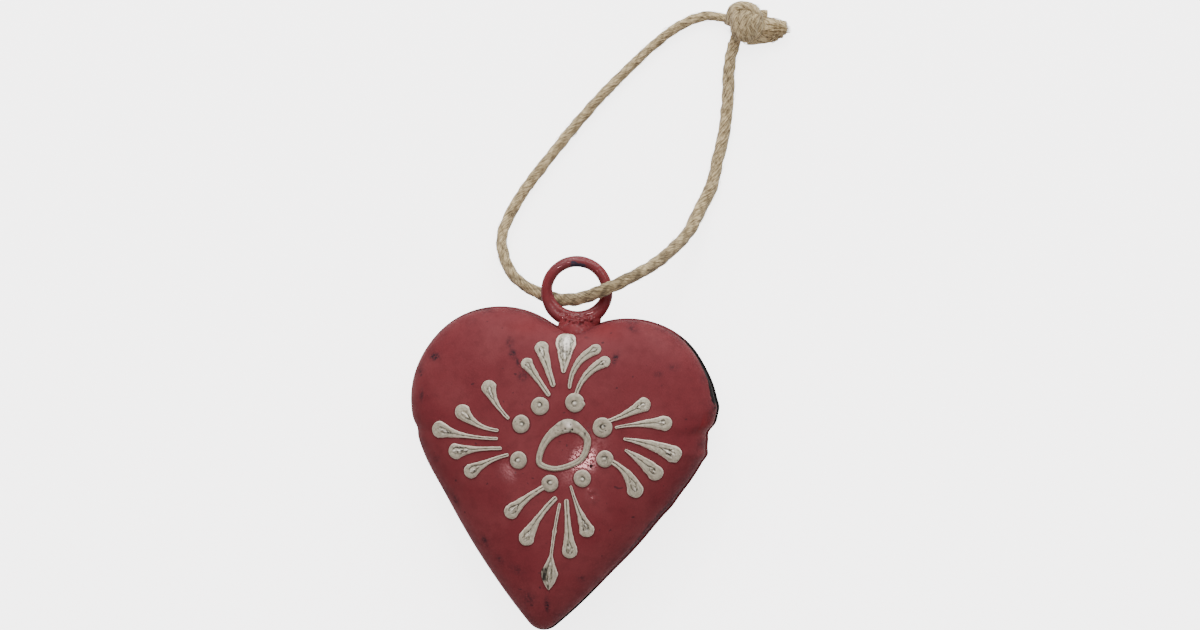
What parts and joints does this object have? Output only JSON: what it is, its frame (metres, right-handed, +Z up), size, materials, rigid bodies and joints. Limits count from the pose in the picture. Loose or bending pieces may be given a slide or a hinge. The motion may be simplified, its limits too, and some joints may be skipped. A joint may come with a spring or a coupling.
{
  "type": "heart ornament",
  "caption": "Puffed red enamelled sheet-metal heart with raised silver-white dots and drops, a wire hanging ring at the cleft and a knotted jute twine loop",
  "frame": {"origin": "middle of the small flat beaten on the back, which the heart rests on when it lies with its painted front up", "axes": "+X to the heart's right as seen from the front, +Y from the point to the hanging ring, +Z up through the painted front"},
  "size_m": [0.0788, 0.1492, 0.0249],
  "materials": {
    "red_enamel": "worn dull red enamel with dark scuffs, satin",
    "back_enamel": "plain dull red enamel with a bare dark iron hem, satin",
    "ring_enamel": "red enamelled wire and weld, satin, chipped to dark iron at the top",
    "silver_white_paint": "thick dried paint, wrinkled, silver white",
    "jute": "twisted natural jute, fuzzy"
  },
  "bodies": {
    "root": {"front_half": "red_enamel", "back_half": "back_enamel", "hanging_ring": "ring_enamel", "paint_loop": "silver_white_paint", "paint_dot_1": "silver_white_paint", "paint_dot_2": "silver_white_paint", "paint_dot_3": "silver_white_paint", "paint_dot_4": "silver_white_paint", "paint_dot_5": "silver_white_paint", "paint_dot_6": "silver_white_paint", "paint_dot_7": "silver_white_paint", "paint_dot_8": "silver_white_paint", "paint_drop_top_1": "silver_white_paint", "paint_drop_top_2": "silver_white_paint", "paint_drop_top_3": "silver_white_paint", "paint_drop_top_4": "silver_white_paint", "paint_drop_top_5": "silver_white_paint", "paint_drop_right_1": "silver_white_paint", "paint_drop_right_2": "silver_white_paint", "paint_drop_right_3": "silver_white_paint", "paint_drop_right_4": "silver_white_paint", "paint_drop_right_5": "silver_white_paint", "paint_drop_bottom_1": "silver_white_paint", "paint_drop_bottom_2": "silver_white_paint", "paint_drop_bottom_3": "silver_white_paint", "paint_drop_bottom_4": "silver_white_paint", "paint_drop_bottom_5": "silver_white_paint", "paint_drop_left_1": "silver_white_paint", "paint_drop_left_2": "silver_white_paint", "paint_drop_left_3": "silver_white_paint", "paint_drop_left_4": "silver_white_paint", "paint_drop_left_5": "silver_white_paint", "twine_loop": "jute", "twine_knot": "jute"}
  },
  "joints": []
}
